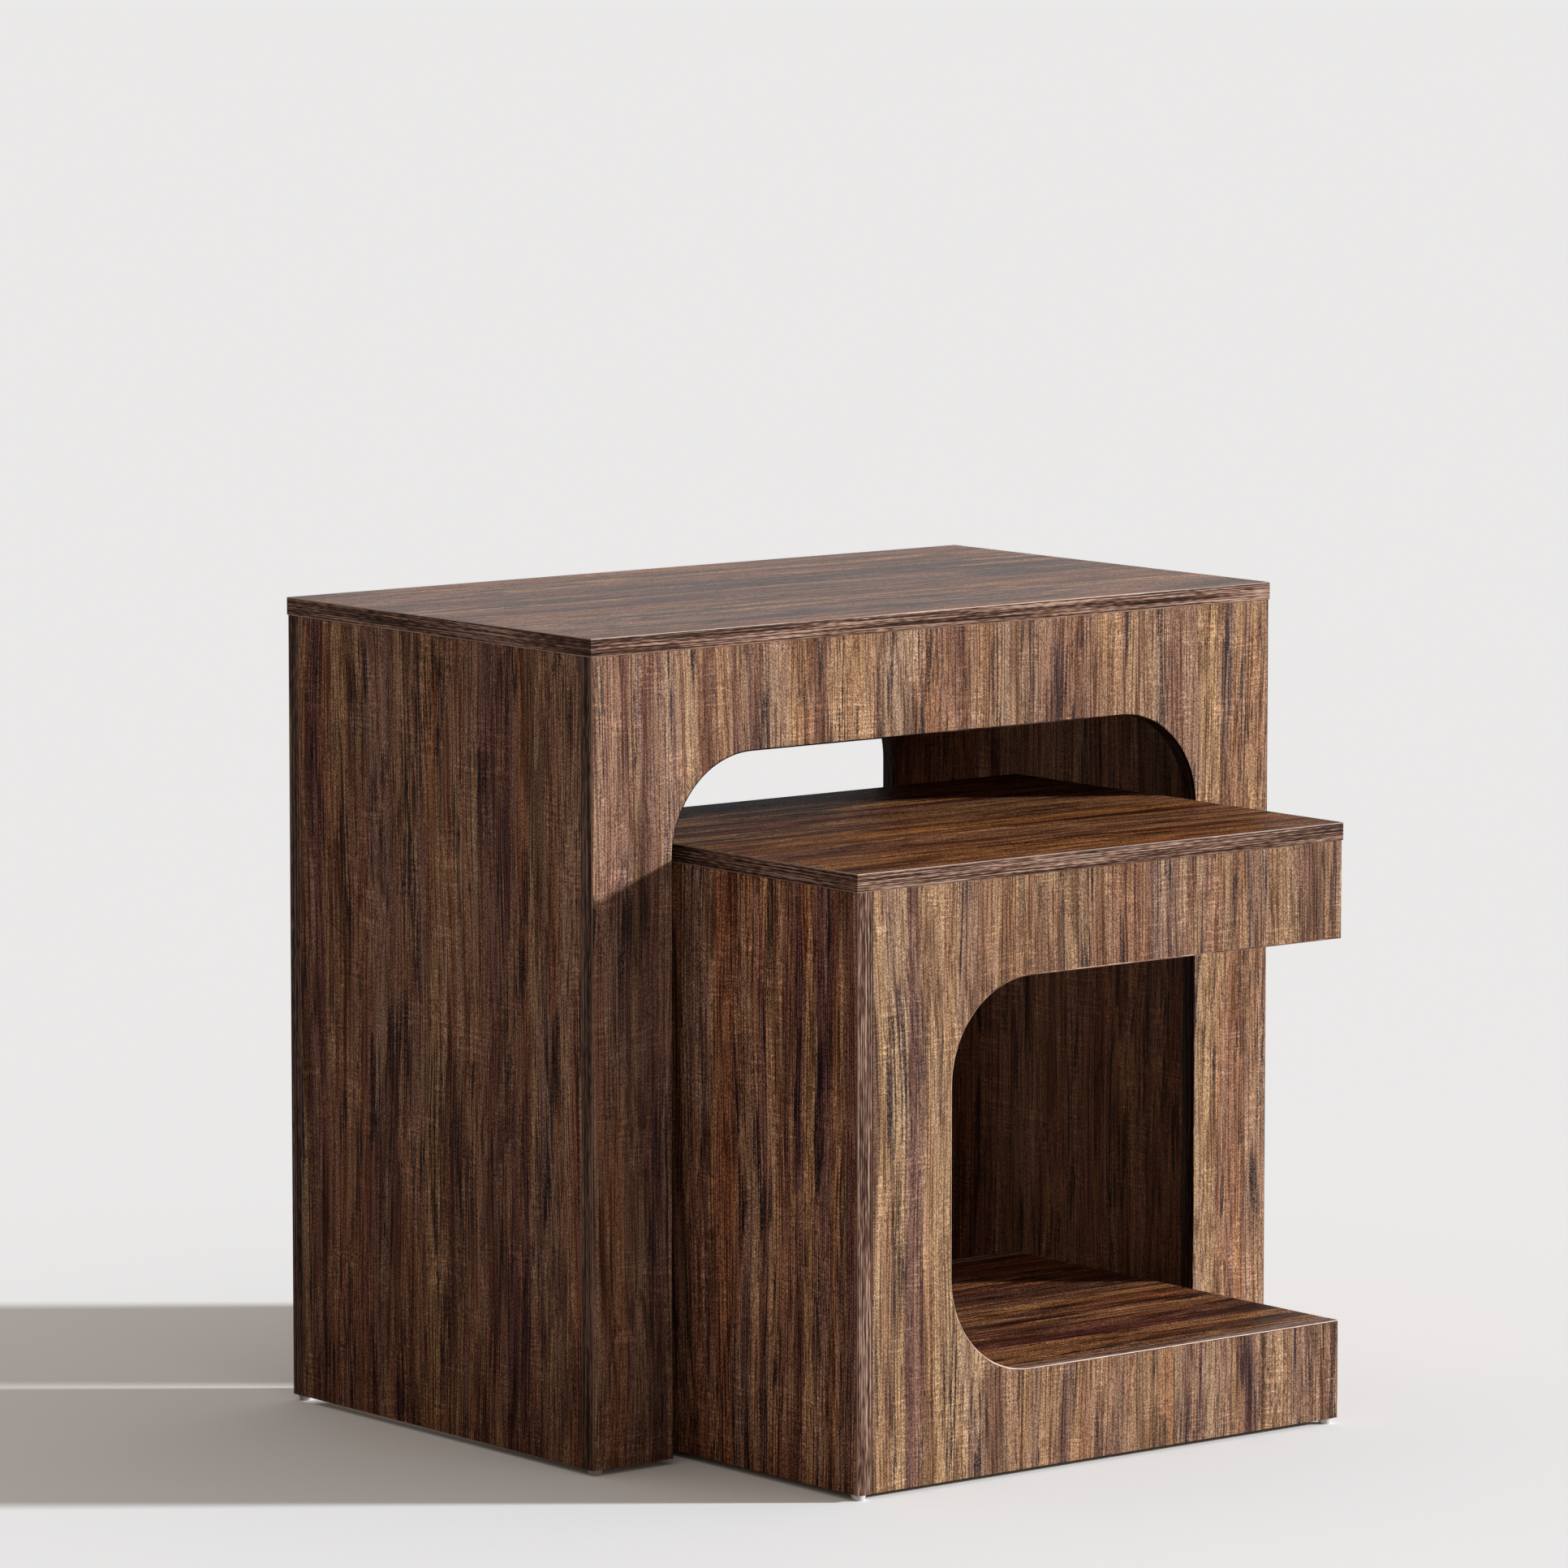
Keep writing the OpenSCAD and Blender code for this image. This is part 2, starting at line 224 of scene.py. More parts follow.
def at(corners, axis, *values):
    """True if all the corners lie at one and the same of the values on that axis."""
    return any(all(abs(corner.co[axis] - value) < TOUCH for corner in corners) for value in values)


def pick(piece, kind, wanted):
    """Opens piece in edit mode, with just the edges or faces selected whose corners are wanted."""
    select_only(piece)
    bpy.ops.object.mode_set(mode="EDIT")
    bpy.ops.mesh.select_mode(type=kind)
    bpy.ops.mesh.select_all(action="DESELECT")
    bpy.ops.object.mode_set(mode="OBJECT")
    mesh = piece.data
    for part in mesh.edges if kind == "EDGE" else mesh.polygons:
        part.select = wanted([mesh.vertices[index] for index in part.vertices])
    bpy.ops.object.mode_set(mode="EDIT")


def apply(piece, kind, **settings):
    """Gives piece a modifier and applies it."""
    modifier = piece.modifiers.new("work", kind)
    for name, setting in settings.items():
        setattr(modifier, name, setting)
    select_only(piece)
    bpy.ops.object.modifier_apply(modifier=modifier.name)


def round_off(size, steps):
    """Rounds the edges that are selected in edit mode, and leaves edit mode."""
    bpy.ops.mesh.bevel(offset=size, segments=steps, profile=0.5, affect="EDGES")
    bpy.ops.object.mode_set(mode="OBJECT")


def band(board, axis, low, high, banded, strip, arris):
    """Leaves of a finished board only the banding on its banded faces, with rounded arrises.
    Along axis the board runs from low to high, its two printed faces. The banding has the
    material strip, and its arrises have the material arris."""
    pick(board, "FACE", lambda corners: not banded(corners))
    bpy.ops.mesh.delete(type="FACE")
    bpy.ops.object.mode_set(mode="OBJECT")
    outside = len(board.data.vertices)
    apply(board, "SOLIDIFY", thickness=band_thickness, offset=-1, use_even_offset=True)
    pick(board, "EDGE", lambda corners: at(corners, axis, low[axis], high[axis])
         and all(corner.index < outside for corner in corners))
    round_off(band_arris, arris_steps)
    board.data.materials.append(strip)
    board.data.materials.append(arris)
    for polygon in board.data.polygons:
        polygon.material_index = 1 if polygon.select else 0
    bpy.ops.object.shade_smooth_by_angle(angle=smooth_angle)


next_cut = Vector((7.31, 3.17, 5.53))


def stretched(sheet, place, number, sizes):
    """A place in the pattern whose features have these sizes along X, Y and Z.
    Each number gives another cut of the pattern."""
    return sheet.node("Mapping", {}, {
        "Vector": place,
        "Location": number * next_cut,
        "Scale": [1 / size for size in sizes],
    })


def noise(place, detail=1.0, output="Fac"):
    """Soft random clouds, about one unit of the place in size."""
    return place.node("TexNoise", {}, {"Vector": place, "Scale": 1, "Detail": detail}, output)


def step(value, start, end):
    """0 below start, 1 above end, and smooth between them."""
    return value.node("MapRange", {"interpolation_type": "SMOOTHSTEP"}, {
        "Value": value, "From Min": start, "From Max": end,
    })


def mixed(share, first, second):
    """The first colour where share is 0 and the second where it is 1."""
    return share.node("Mix", {"data_type": "RGBA"}, {0: share, 6: first, 7: second}, 2)


def shaded(colour, value):
    """A colour made brighter or darker by a value round 1."""
    return value.node("VectorMath", {"operation": "SCALE"}, {0: colour, "Scale": value})


WALNUT = [
    (0.00, (0.154, 0.090, 0.073, 1)),
    (0.14, (0.240, 0.132, 0.100, 1)),
    (0.30, (0.356, 0.188, 0.097, 1)),
    (0.46, (0.288, 0.190, 0.139, 1)),
    (0.62, (0.420, 0.267, 0.138, 1)),
    (0.78, (0.340, 0.228, 0.166, 1)),
    (0.90, (0.444, 0.290, 0.164, 1)),
    (1.00, (0.274, 0.138, 0.093, 1)),
]
CHARCOAL = (0.021, 0.019, 0.024, 1)
SMOKE = (0.64, 0.61, 0.62, 1)
# The tints below, and the depths given with them, paint shade: the warm tint and deep contrast of shade
# and warm bounce light on the sides, tops and shelf.
LARGE_LEFT_SHADE_TINT = (1.44, 1.60, 1.86, 1)
SMALL_LEFT_SHADE_TINT = (2.20, 2.48, 3.00, 1)
TOPS_SHADE_TINT = (1.88, 2.04, 2.14, 1)
SHELF_SHADE_TINT = (1.98, 2.18, 2.58, 1)
PLAIN = (1, 1, 1, 1)
SOBER = (0.90, 0.90, 0.90, 1)
SAW_MARK_GAIN = 1.42
pore_depth = 0.00012


def decor(name, grain, number, tint_and_shade=PLAIN, depth=1.0, gloss=1.05):
    """Printed walnut decor with embossed pores. The grain runs along the axis grain. Some
    sheets are printed darker, and some carry painted shade: on the boards that stand in shade or
    under warm bounce light, depth deepens the print's contrast and the tint warms it, as that
    shade does. gloss is the refractive index of the lacquer over it."""
    material, sheet = new_finish(name)
    place = sheet.node("TexCoord", {}, {}, "Object")

    def sized(across, along):
        """A size along each axis: along is the one with the grain."""
        sizes = [across] * 3
        sizes[grain] = along
        return sizes

    def moved(start, distance_across, distance_along, across, along):
        """The place, shifted softly to and fro by a cloud of that size."""
        cloud = noise(stretched(sheet, start, number, sized(across, along)), 1, "Color")
        distances = sized(distance_across, distance_along)
        return sheet.node("VectorMath", {"operation": "MULTIPLY_ADD"}, {0: cloud, 1: distances, 2: start})

    grown = moved(place, 0.018, 0, 0.10, 0.30)
    frayed = moved(grown, 0.0014, 0, 0.0014, 0.090)
    sawn = moved(place, 0, 0.010, 0.05, 0.05)

    def figure(across, along, detail=1.0, start=grown):
        """Clouds drawn out along the grain."""
        return noise(stretched(sheet, start, number, sized(across, along)), detail)

    def tongues(across, along):
        """Long pointed tongues of wood, each with a colour of its own."""
        cells = sheet.node("TexVoronoi", {}, {
            "Vector": stretched(sheet, frayed, number, sized(across, along)), "Scale": 1,
        }, "Color")
        pick_one = sheet.node("SeparateColor", {}, {"Color": cells}, "Red")
        return sheet.node("ValToRGB", {"stops": WALNUT}, {"Fac": pick_one})

    def times(colour, factor):
        """A colour times a colour."""
        return sheet.node("VectorMath", {"operation": "MULTIPLY"}, {0: colour, 1: factor})

    lines = step(figure(0.0012, 0.110, 2), 0.49, 0.61)
    threads = step(figure(0.0007, 0.045), 0.40, 0.60)
    flecks = step(figure(0.0011, 0.0011), 0.36, 0.64)
    pores = step(figure(0.0011, 0.0070), 0.60, 0.68)
    clouds = step(figure(0.016, 0.12, 3), 0.30, 0.70)
    smoky = step(figure(0.013, 0.17, 2), 0.53, 0.61)
    streaks = step(figure(0.0017, 0.060, 1), 0.48, 0.57) * step(figure(0.012, 0.110, 1), 0.53, 0.62)
    cracks = step(figure(0.0017, 0.026), 0.68, 0.74) * step(figure(0.030, 0.08), 0.47, 0.57)
    rough_sawn = step(figure(0.030, 0.050, 2), 0.50, 0.57)
    saw_lines = step(figure(0.030, 0.0016, 1, sawn), 0.52, 0.60) * rough_sawn

    colour = mixed(0.30 + 0.3 * clouds, tongues(0.021, 0.70), tongues(0.0066, 0.34))
    colour = times(colour, mixed(clouds, (0.98, 0.95, 0.94, 1), (1.10, 1.12, 1.13, 1)))
    colour = times(colour, mixed(smoky, PLAIN, SMOKE))
    colour = times(colour, mixed(lines, (1.12, 1.13, 1.13, 1), (0.52, 0.45, 0.44, 1)))
    colour = times(colour, mixed(threads, (0.80, 0.76, 0.75, 1), (1.12, 1.14, 1.14, 1)))
    # The light flecks are partly the print's pale marks and partly painted glints of the sun on the
    # embossed pores.
    colour = times(colour, mixed(flecks, (0.62, 0.57, 0.56, 1), (1.26, 1.29, 1.30, 1)))
    colour = mixed(streaks * (0.92 - 0.30 * flecks), colour, CHARCOAL)
    colour = mixed(pores * (0.30 + 0.30 * rough_sawn), colour, CHARCOAL)
    colour = mixed(cracks * 0.92, colour, CHARCOAL)
    # Painted shade: on the boards in shade, depth deepens the print's contrast and the tint below warms
    # it, as their shade and the warm bounce light do.
    colour = sheet.node("Gamma", {}, {"Color": colour, "Gamma": depth})
    colour = times(colour, mixed(saw_lines, tint_and_shade, [SAW_MARK_GAIN * part for part in tint_and_shade[:3]] + [1]))
    relief = flecks - 0.5 * lines - 0.9 * pores + saw_lines
    normal = sheet.node("Bump", {}, {"Strength": 0.7, "Distance": pore_depth, "Height": relief})
    shader = sheet.node("BsdfPrincipled", {}, {
        "Base Color": colour, "Roughness": 0.40 + 0.12 * pores, "IOR": gloss, "Normal": normal,
    })
    sheet.node("OutputMaterial", {}, {"Surface": shader})
    return material


BAND_TONES = [
    (0.40, (0.030, 0.019, 0.016, 1)),
    (0.47, (0.110, 0.056, 0.038, 1)),
    (0.53, (0.250, 0.138, 0.098, 1)),
    (0.62, (0.580, 0.400, 0.310, 1)),
]


def banding(name, across, number, tone_and_shade=1.0):
    """Edge banding: dark and light lines along it, narrow along the axis across. The darkening
    given last is partly the banding's own tone and partly painted shade where it stands in shadow.
    """
    material, strip = new_finish(name)
    place = strip.node("TexCoord", {}, {}, "Object")

    def lines(width, length):
        """Clouds drawn out along the banding."""
        sizes = [length] * 3
        sizes[across] = width
        return noise(stretched(strip, place, number, sizes))

    tone = 0.60 * lines(0.0008, 0.120) + 0.40 * lines(0.0007, 0.009)
    broad = step(lines(0.0030, 0.080), 0.40, 0.60)
    colour = strip.node("ValToRGB", {"stops": BAND_TONES}, {"Fac": tone})
    colour = shaded(colour, tone_and_shade * (0.85 + 0.30 * broad))
    normal = strip.node("Bump", {}, {"Strength": 0.6, "Distance": pore_depth, "Height": tone})
    shader = strip.node("BsdfPrincipled", {}, {
        "Base Color": colour, "Roughness": 0.42, "IOR": 1.08, "Normal": normal,
    })
    strip.node("OutputMaterial", {}, {"Surface": shader})
    return material


def scraped(name, printed, bare):
    """The arris of a banding. Here and there the scraper has cut through its print to the
    bare plastic."""
    material, edge = new_finish(name)
    place = edge.node("TexCoord", {}, {}, "Object")
    nicks = noise(stretched(edge, place, 1, [0.004] * 3), 2)
    cut_through = step(noise(stretched(edge, place, 2, [0.22] * 3)), 0.42, 0.54)
    colour = mixed(cut_through, printed, bare)
    shader = edge.node("BsdfPrincipled", {}, {
        "Base Color": shaded(colour, 0.75 + 0.5 * nicks), "Roughness": 0.25 + 0.2 * nicks,
    })
    edge.node("OutputMaterial", {}, {"Surface": shader})
    return material


BROWN = (0.170, 0.080, 0.046, 1)
brown_arris = scraped("scraped_brown", BROWN, (0.24, 0.120, 0.072, 1))
tan_arris = scraped("scraped_tan", BROWN, (0.50, 0.33, 0.235, 1))
# Painted highlight: this pale arris stands in for the sun's glint on the rounded arrises that face up;
# its scraped patches are wear.
highlight_arris = scraped("scraped_cream_highlight", (0.50, 0.36, 0.27, 1), (0.66, 0.50, 0.39, 1))


def chipboard_core():
    """Pale pressed wood chips, as on a board's sawn edges and in its holes."""
    material, chips = new_finish("chipboard_core")
    place = chips.node("TexCoord", {}, {}, "Object")
    flakes = noise(stretched(chips, place, 1, [0.0016] * 3), 3)
    stops = [
        (0.35, (0.19, 0.115, 0.06, 1)),
        (0.50, (0.38, 0.26, 0.155, 1)),
        (0.68, (0.55, 0.42, 0.28, 1)),
    ]
    colour = chips.node("ValToRGB", {"stops": stops}, {"Fac": flakes})
    normal = chips.node("Bump", {}, {"Strength": 0.6, "Distance": 0.0003, "Height": flakes})
    shader = chips.node("BsdfPrincipled", {}, {
        "Base Color": colour, "Roughness": 0.85, "Normal": normal,
    })
    chips.node("OutputMaterial", {}, {"Surface": shader})
    return material


chipboard = chipboard_core()


def face_board(board, axis, print_material):
    """Prints the two faces of a board that is thin along axis, and leaves its edges and holes raw."""
    board.data.materials.append(print_material)
    board.data.materials.append(chipboard)
    for polygon in board.data.polygons:
        polygon.material_index = 0 if abs(polygon.normal[axis]) > 0.5 else 1


def solids(node):
    """Lowest and highest corner of each solid in a node that holds several."""
    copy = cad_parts[node].copy()
    copy.data = copy.data.copy()
    bpy.context.scene.collection.objects.link(copy)
    select_only(copy)
    bpy.ops.object.mode_set(mode="EDIT")
    bpy.ops.mesh.select_all(action="SELECT")
    bpy.ops.mesh.remove_doubles(threshold=TOUCH)
    bpy.ops.mesh.separate(type="LOOSE")
    bpy.ops.object.mode_set(mode="OBJECT")
    boxes = []
    for part in list(bpy.context.selected_objects):
        places = [vertex.co for vertex in part.data.vertices]
        boxes.append((
            Vector(min(place[axis] for place in places) for axis in range(3)),
            Vector(max(place[axis] for place in places) for axis in range(3)),
        ))
        bpy.data.objects.remove(part)
    return boxes


hole_gap = 0.0001
hole_run_out = 0.0005
round_sides = 32
along_axis = (0, radians(90), 0), (radians(90), 0, 0), (0, 0, 0)


def drills(name, cams, *pins):
    """The holes of a table's boards, as one cutter: housings for the cams and bores for the pins."""
    holes = []
    for node in (cams, *pins):
        for low, high in solids(node):
            size = high - low
            length = min(size) if node == cams else max(size)
            axis = list(size).index(length)
            across = max(size) if node == cams else min(size)
            bpy.ops.mesh.primitive_cylinder_add(
                vertices=round_sides,
                radius=across / 2 + hole_gap,
                depth=length + 2 * hole_run_out,
                location=(low + high) / 2,
                rotation=along_axis[axis],
            )
            holes.append(bpy.context.object)
    bpy.ops.object.select_all(action="DESELECT")
    for hole in holes:
        hole.select_set(True)
    bpy.ops.object.join()
    bpy.ops.object.transform_apply()
    cutter = bpy.context.object
    cutter.name = name
    return cutter


def cut(board, cutter):
    """Takes the cutter's shape out of a board."""
    apply(board, "BOOLEAN", operation="DIFFERENCE", object=cutter, solver="EXACT", use_self=True)


large_drills = drills("large_drills", "large_cams", "large_cam_bolts", "large_dowels")

large_top = block("large_top_board", *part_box("large_top"))
cut(large_top, large_drills)
# The top's tint and depth paint warm shade and deep shade contrast into its print.
face_board(large_top, 2, decor("walnut_large_top", 0, 1, TOPS_SHADE_TINT, 1.9, 1.235))
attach(large_top, "large_table")
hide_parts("large_top")

low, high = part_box("large_top_edging")
large_top_band = block("large_top_band", low, high)
band(large_top_band, 2, low, high, lambda corners: not at(corners, 2, low.z, high.z),
     banding("banding_large_top", 2, 1, 0.80), tan_arris)
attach(large_top_band, "large_table")
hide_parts("large_top_edging")


# ---- large arch panels ----
# The front and back of the large table, each one board sawn out to an arch with round corners.
# The arch and the panel's upright edges are banded. The upright edges' band is darkened as painted
# shade, and the band inside the arch far more, as painted shadow. The foot and the head are left sawn.
# Cams and dowels fix them to the top and to the side panels.

arch_leg = 0.0655
arch_lintel = 0.070
arch_corner = 0.0655
corner_steps = 24
saw_run_out = 0.01
eased_arris = 0.0005
eased_steps = 2


def arch_form(name, low, high, bare):
    """An arch panel that is cut back by bare on its banded edges."""
    inset = Vector((bare, 0, 0))
    panel = block(name, low + inset, high - inset)
    sides = low.x + arch_leg - bare, high.x - arch_leg + bare
    top = high.z - arch_lintel + bare
    opening = block(
        "opening",
        Vector((sides[0], low.y - saw_run_out, low.z - saw_run_out)),
        Vector((sides[1], high.y + saw_run_out, top)),
    )
    pick(opening, "EDGE", lambda corners: at(corners, 0, *sides) and at(corners, 2, top))
    round_off(arch_corner + bare, corner_steps)
    cut(panel, opening)
    bpy.data.objects.remove(opening)
    return panel


def ease(board, axis, low, high):
    """Rubs down the sawn arrises at a board's head and foot."""
    pick(board, "EDGE", lambda corners: at(corners, 2, low.z, high.z)
         and at(corners, axis, low[axis], high[axis]))
    round_off(eased_arris, eased_steps)


for number, side in enumerate(("front", "back"), start=2):
    low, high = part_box(f"large_{side}_arch_edging")
    panel = arch_form(f"large_{side}_panel", low, high, band_thickness)
    ease(panel, 1, low, high)
    cut(panel, large_drills)
    face_board(panel, 1, decor(f"walnut_large_{side}", 2, number))
    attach(panel, "large_table")
    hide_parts(f"large_{side}_arch")

    strip = arch_form(f"large_{side}_band", low, high, 0)
    # The banding of the upright edges is darkened to 0.55 as painted shade.
    band(strip, 1, low, high, lambda corners: not at(corners, 1, low.y, high.y)
         and not at(corners, 2, low.z, high.z),
         banding(f"banding_large_{side}", 1, number, 0.55), brown_arris)
    # Painted shadow: the band inside the opening gets a banding darkened to 0.15.
    strip.data.materials.append(banding(f"banding_large_{side}_opening", 1, number, 0.15))
    for polygon in strip.data.polygons:
        if abs(polygon.center.x) < high.x - arch_leg + band_arris:
            polygon.material_index = 2
    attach(strip, "large_table")
    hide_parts(f"large_{side}_arch_edging")


# ---- large side panels ----
# Plain chipboard with the walnut decor on both faces, held between the two arch panels by bolts
# and dowels. Their arrises at the head and foot are rubbed down.

# The left side stands in shade: its tint and depth paint that shade into its print.
for number, side, tint_and_shade, depth in ((4, "left", LARGE_LEFT_SHADE_TINT, 1.35), (5, "right", PLAIN, 1)):
    low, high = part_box(f"large_{side}_side")
    panel = block(f"large_{side}_board", low, high)
    ease(panel, 0, low, high)
    cut(panel, large_drills)
    face_board(panel, 0, decor(f"walnut_large_{side}", 2, number, tint_and_shade, depth))
    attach(panel, "large_table")
    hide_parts(f"large_{side}_side")

bpy.data.objects.remove(large_drills)


# ---- small top ----
# Like the large one: chipboard with a printed decor, banded all round. It lies on the side
# panel and the two C frames, held by cam bolts in its underside.

small_drills = drills("small_drills", "small_cams", "small_cam_bolts", "small_dowels")

small_top = block("small_top_board", *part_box("small_top"))
cut(small_top, small_drills)
# The small top stands in shade under the large one: its tint and depth paint that shade and the warm
# bounce light into its print.
face_board(small_top, 2, decor("walnut_small_top", 0, 6, TOPS_SHADE_TINT, 1.9))
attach(small_top, "small_table")
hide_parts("small_top")

low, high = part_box("small_top_edging")
small_top_band = block("small_top_band", low, high)
band(small_top_band, 2, low, high, lambda corners: not at(corners, 2, low.z, high.z),
     banding("banding_small_top", 2, 6, 0.75), tan_arris)
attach(small_top_band, "small_table")
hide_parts("small_top_edging")


# ---- small left side ----
# The only full side of the small table, of the same board. It stands between the top and the
# floor, outside the two frames, so its front and back edges show and are banded.

side_low, side_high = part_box("small_left_side")
small_side = block("small_left_board", side_low, side_high)
ease(small_side, 0, side_low, side_high)
cut(small_side, small_drills)
# The small left side stands in shade: its tint and depth paint that shade into its print.
face_board(small_side, 0, decor("walnut_small_left", 2, 7, SMALL_LEFT_SHADE_TINT, 1.5))
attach(small_side, "small_table")
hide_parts("small_left_side")

low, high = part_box("small_left_side_edging")
small_side_band = block("small_left_band", low, high)
band(small_side_band, 0, low, high, lambda corners: at(corners, 1, low.y, high.y),
     banding("banding_small_left", 0, 7, 0.68), brown_arris)
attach(small_side_band, "small_table")
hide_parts("small_left_side_edging")


# ---- small C frames ----
# Front and back of the small table, each one board sawn out to a C that is open at the right.
# The bay and the ends of the lintel and of the bottom rail are banded. Where an arris of the
# banding faces up it is painted pale as a highlight; where it faces down it keeps its brown print.

joint_gap = 0.0008
bay_leg = 0.066
bay_lintel = 0.0655
bay_rail = 0.066
bay_corner = 0.066
facing_down = 0.1


def frame_form(name, low, high, bare):
    """A C frame that is cut back by bare on its banded edges, and stands just off the side panel."""
    panel = block(name, low + Vector((joint_gap, 0, 0)), high - Vector((bare, 0, 0)))
    left = low.x + bay_leg - bare
    heights = low.z + bay_rail - bare, high.z - bay_lintel + bare
    bay = block(
        "bay",
        Vector((left, low.y - saw_run_out, heights[0])),
        Vector((high.x + saw_run_out, high.y + saw_run_out, heights[1])),
    )
    pick(bay, "EDGE", lambda corners: at(corners, 0, left) and at(corners, 2, *heights))
    round_off(bay_corner + bare, corner_steps)
    cut(panel, bay)
    bpy.data.objects.remove(bay)
    return panel


for number, side in enumerate(("front", "back"), start=8):
    left_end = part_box(f"small_{side}_frame")[0]
    low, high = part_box(f"small_{side}_frame_edging")
    low.x = left_end.x
    panel = frame_form(f"small_{side}_panel", low, high, band_thickness)
    ease(panel, 1, low, high)
    cut(panel, small_drills)
    face_board(panel, 1, decor(f"walnut_small_{side}", 2, number, SOBER))
    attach(panel, "small_table")
    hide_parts(f"small_{side}_frame")

    strip = frame_form(f"small_{side}_band", low, high, 0)
    band(strip, 1, low, high, lambda corners: not at(corners, 1, low.y, high.y)
         and not at(corners, 2, low.z, high.z) and not at(corners, 0, low.x + joint_gap),
         banding(f"banding_small_{side}", 1, number), highlight_arris)
    # Arrises that face down keep the brown print, without the painted highlight.
    strip.data.materials.append(brown_arris)
    for polygon in strip.data.polygons:
        if polygon.material_index == 1 and polygon.normal.z < -facing_down:
            polygon.material_index = 2
    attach(strip, "small_table")
    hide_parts(f"small_{side}_frame_edging")


# ---- small shelf ----
# A board between the two C frames, on dowels and cam bolts, level with the top of their bottom
# rails. Only its open end is banded, because the frames cover the rest.

shelf = block("small_shelf_board", *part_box("small_shelf"))
cut(shelf, small_drills)
# The shelf stands in shade: its tint and depth paint that shade and the warm bounce light into its print.
face_board(shelf, 2, decor("walnut_small_shelf", 0, 10, SHELF_SHADE_TINT, 1.9))
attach(shelf, "small_table")
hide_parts("small_shelf")

low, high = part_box("small_shelf_edging")
shelf_band = block("small_shelf_band", low, high)
band(shelf_band, 2, low, high, lambda corners: at(corners, 0, high.x),
     banding("banding_small_shelf", 2, 10), highlight_arris)
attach(shelf_band, "small_table")
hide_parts("small_shelf_edging")


# ---- small end rails ----
# Two narrow boards across the open end, between the two frames: one under the top, banded along
# its lower edge, and one under the shelf.

for number, rail in enumerate(("top", "base"), start=11):
    rail_low, rail_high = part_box(f"small_{rail}_rail")
    board = block(f"small_{rail}_rail_board", rail_low, rail_high)
    ease(board, 0, rail_low, rail_high)
    cut(board, small_drills)
    face_board(board, 0, decor(f"walnut_small_{rail}_rail", 1, number))
    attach(board, "small_table")
    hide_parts(f"small_{rail}_rail")

low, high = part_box("small_top_rail_edging")
rail_band = block("small_top_rail_band", low, high)
band(rail_band, 0, low, high, lambda corners: at(corners, 2, low.z),
     banding("banding_small_rail", 0, 11), highlight_arris)
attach(rail_band, "small_table")
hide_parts("small_top_rail_edging")

bpy.data.objects.remove(small_drills)


# ---- fittings ----
# Die-cast zinc cams that are turned from the inside, zinc-plated steel bolts and nails, and
# fluted beech dowels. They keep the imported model's shapes.


def metal(name, colour, roughness, grain_size):
    """Bare or plated metal with a cloudy skin."""
    material, skin = new_finish(name)
    place = skin.node("TexCoord", {}, {}, "Object")
    cloud = noise(stretched(skin, place, 1, [grain_size] * 3), 3)
    normal = skin.node("Bump", {}, {"Strength": 0.3, "Distance": 0.0001, "Height": cloud})
    shader = skin.node("BsdfPrincipled", {}, {
        "Base Color": mixed(cloud, [0.8 * part for part in colour[:3]] + [1], colour),
        "Metallic": 1.0, "Roughness": roughness + 0.2 * cloud, "Normal": normal,
    })
    skin.node("OutputMaterial", {}, {"Surface": shader})
    return material


def beech():
    """Pale raw beech with fine flecks."""
    material, wood = new_finish("beech_dowel")
    place = wood.node("TexCoord", {}, {}, "Object")
    flecks = noise(stretched(wood, place, 1, [0.0008] * 3), 2)
    colour = mixed(flecks, (0.50, 0.33, 0.18, 1), (0.68, 0.50, 0.31, 1))
    shader = wood.node("BsdfPrincipled", {}, {"Base Color": colour, "Roughness": 0.6 + 0.2 * flecks})
    wood.node("OutputMaterial", {}, {"Surface": shader})
    return material


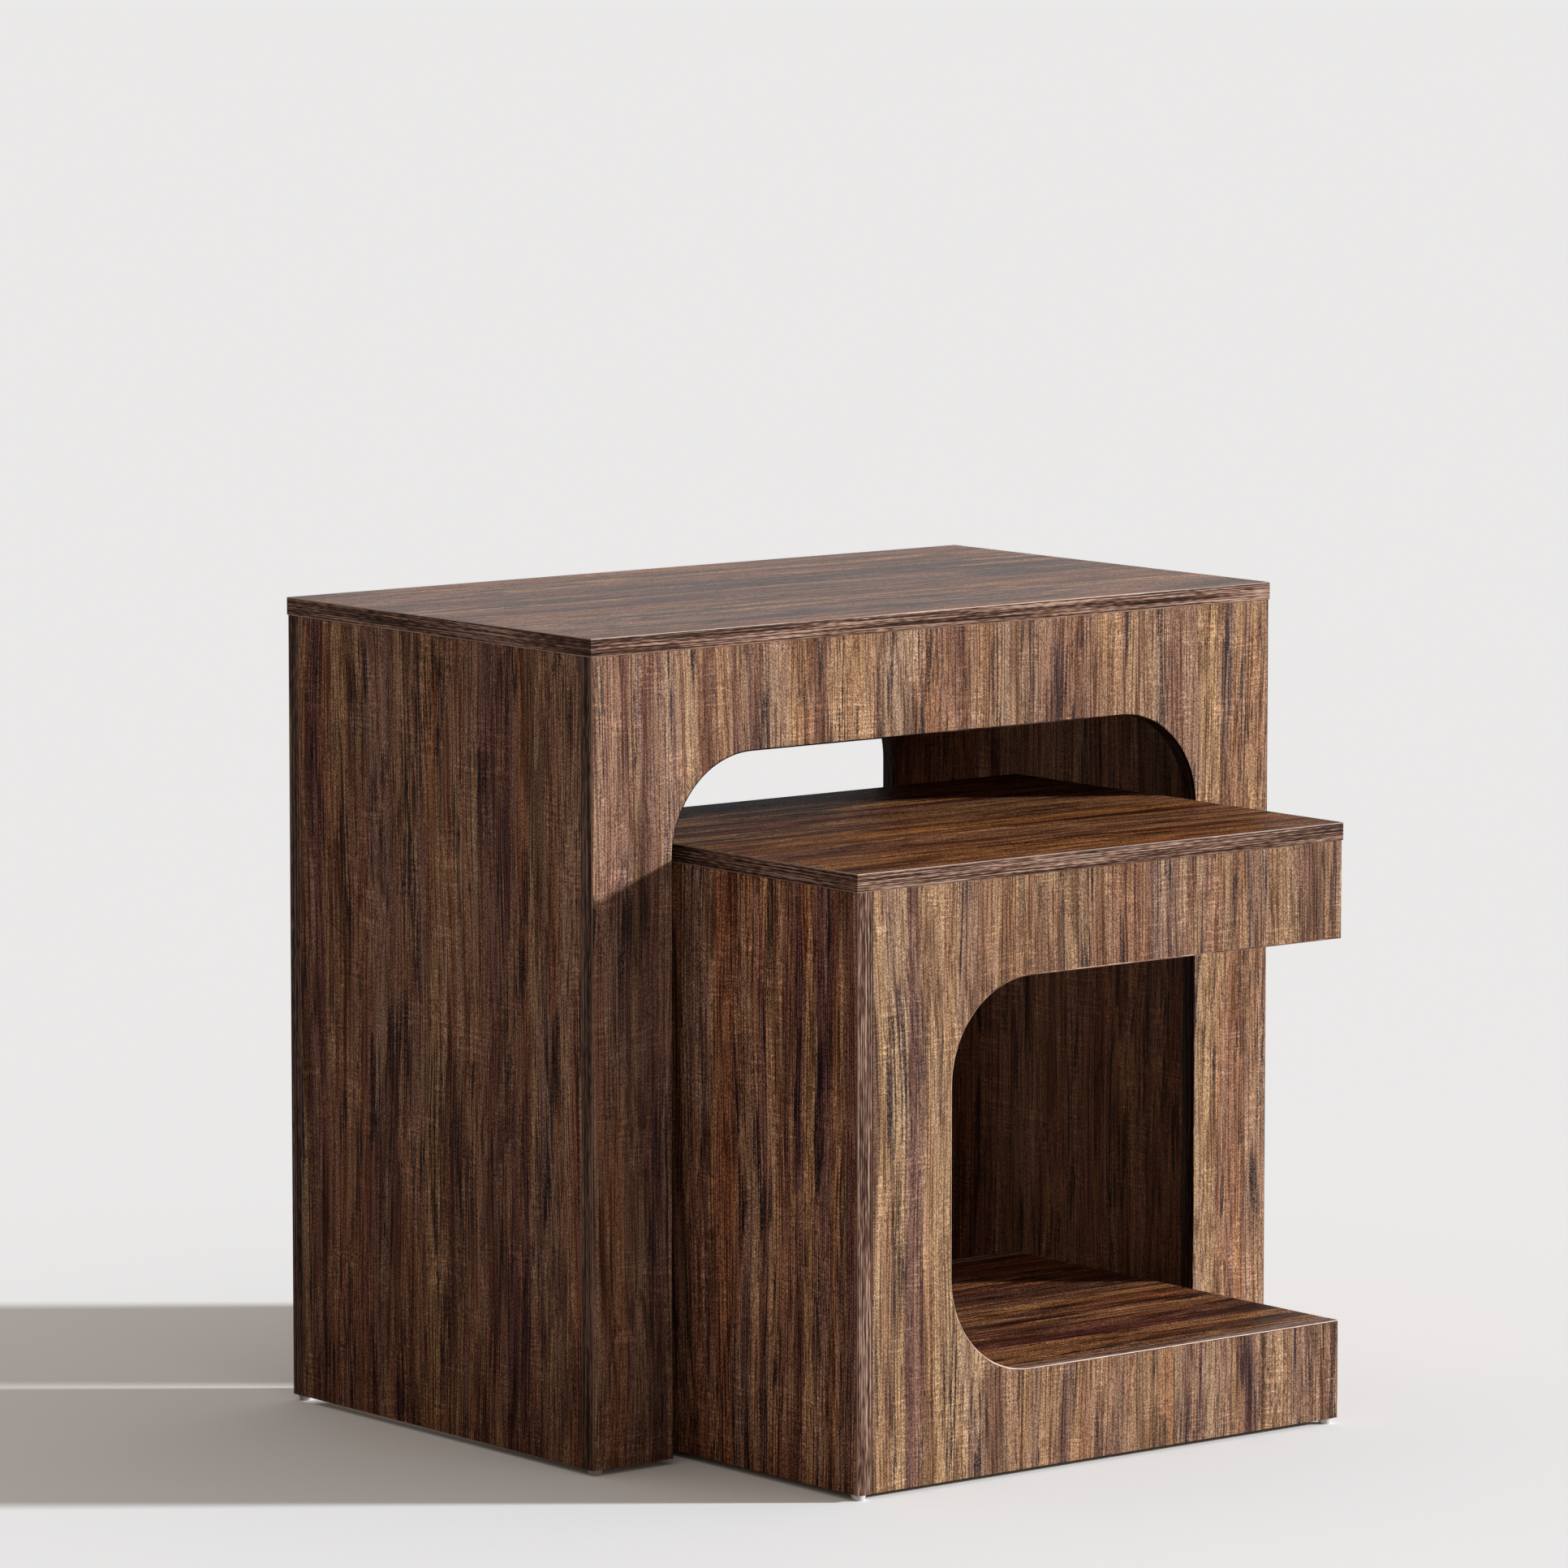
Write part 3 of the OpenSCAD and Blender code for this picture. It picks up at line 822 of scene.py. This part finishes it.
zinc = metal("cast_zinc", (0.62, 0.63, 0.65, 1), 0.35, 0.0015)
steel = metal("plated_steel", (0.70, 0.68, 0.62, 1), 0.22, 0.0010)
beech_wood = beech()
for table in ("large", "small"):
    for fitting, material in (
        ("cams", zinc), ("cam_bolts", steel), ("glide_nails", steel), ("dowels", beech_wood),
    ):
        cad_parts[f"{table}_{fitting}"].data.materials.clear()
        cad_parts[f"{table}_{fitting}"].data.materials.append(material)


# ---- glides ----
# Pale plastic buttons that taper to the floor, with a rounded foot. A nail through the middle
# of each, sunk in a recess, holds it under the boards.

glide_recess = 0.0015
recess_radius = 0.0019
foot_rounding = 0.0008
foot_share = 0.8

glide_plastic, plastic = new_finish("glide_plastic")
place = plastic.node("TexCoord", {}, {}, "Object")
scuffs = noise(stretched(plastic, place, 1, [0.002] * 3), 3)
shader = plastic.node("BsdfPrincipled", {}, {
    "Base Color": mixed(scuffs, (0.60, 0.59, 0.56, 1), (0.70, 0.69, 0.67, 1)),
    "Roughness": 0.35 + 0.2 * scuffs,
})
plastic.node("OutputMaterial", {}, {"Surface": shader})


def glide(low, high):
    """One glide: a tapered button, hollowed under for its nail and rounded where it slides."""
    top_radius = (high.x - low.x) / 2
    foot_radius = top_radius * foot_share
    bpy.ops.mesh.primitive_cone_add(
        vertices=round_sides, radius1=foot_radius, radius2=top_radius,
        depth=high.z - low.z, location=(low + high) / 2,
    )
    bpy.ops.object.transform_apply()
    button = bpy.context.object
    pick(button, "FACE", lambda corners: at(corners, 2, low.z))
    bpy.ops.mesh.inset(thickness=foot_radius - recess_radius)
    bpy.ops.mesh.extrude_region_move(TRANSFORM_OT_translate={"value": (0, 0, glide_recess)})
    bpy.ops.object.mode_set(mode="OBJECT")
    middle = (low + high) / 2
    pick(button, "EDGE", lambda corners: at(corners, 2, low.z) and all(
        (corner.co.xy - middle.xy).length > (foot_radius + recess_radius) / 2 for corner in corners))
    round_off(foot_rounding, arris_steps)
    return button


for table in ("large", "small"):
    buttons = [glide(low, high) for low, high in solids(f"{table}_glides")]
    bpy.ops.object.select_all(action="DESELECT")
    for button in buttons:
        button.select_set(True)
    bpy.ops.object.join()
    glides = bpy.context.object
    glides.name = f"{table}_glide_set"
    bpy.ops.object.shade_smooth_by_angle(angle=smooth_angle)
    glides.data.materials.append(glide_plastic)
    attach(glides, f"{table}_table")
    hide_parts(f"{table}_glides")
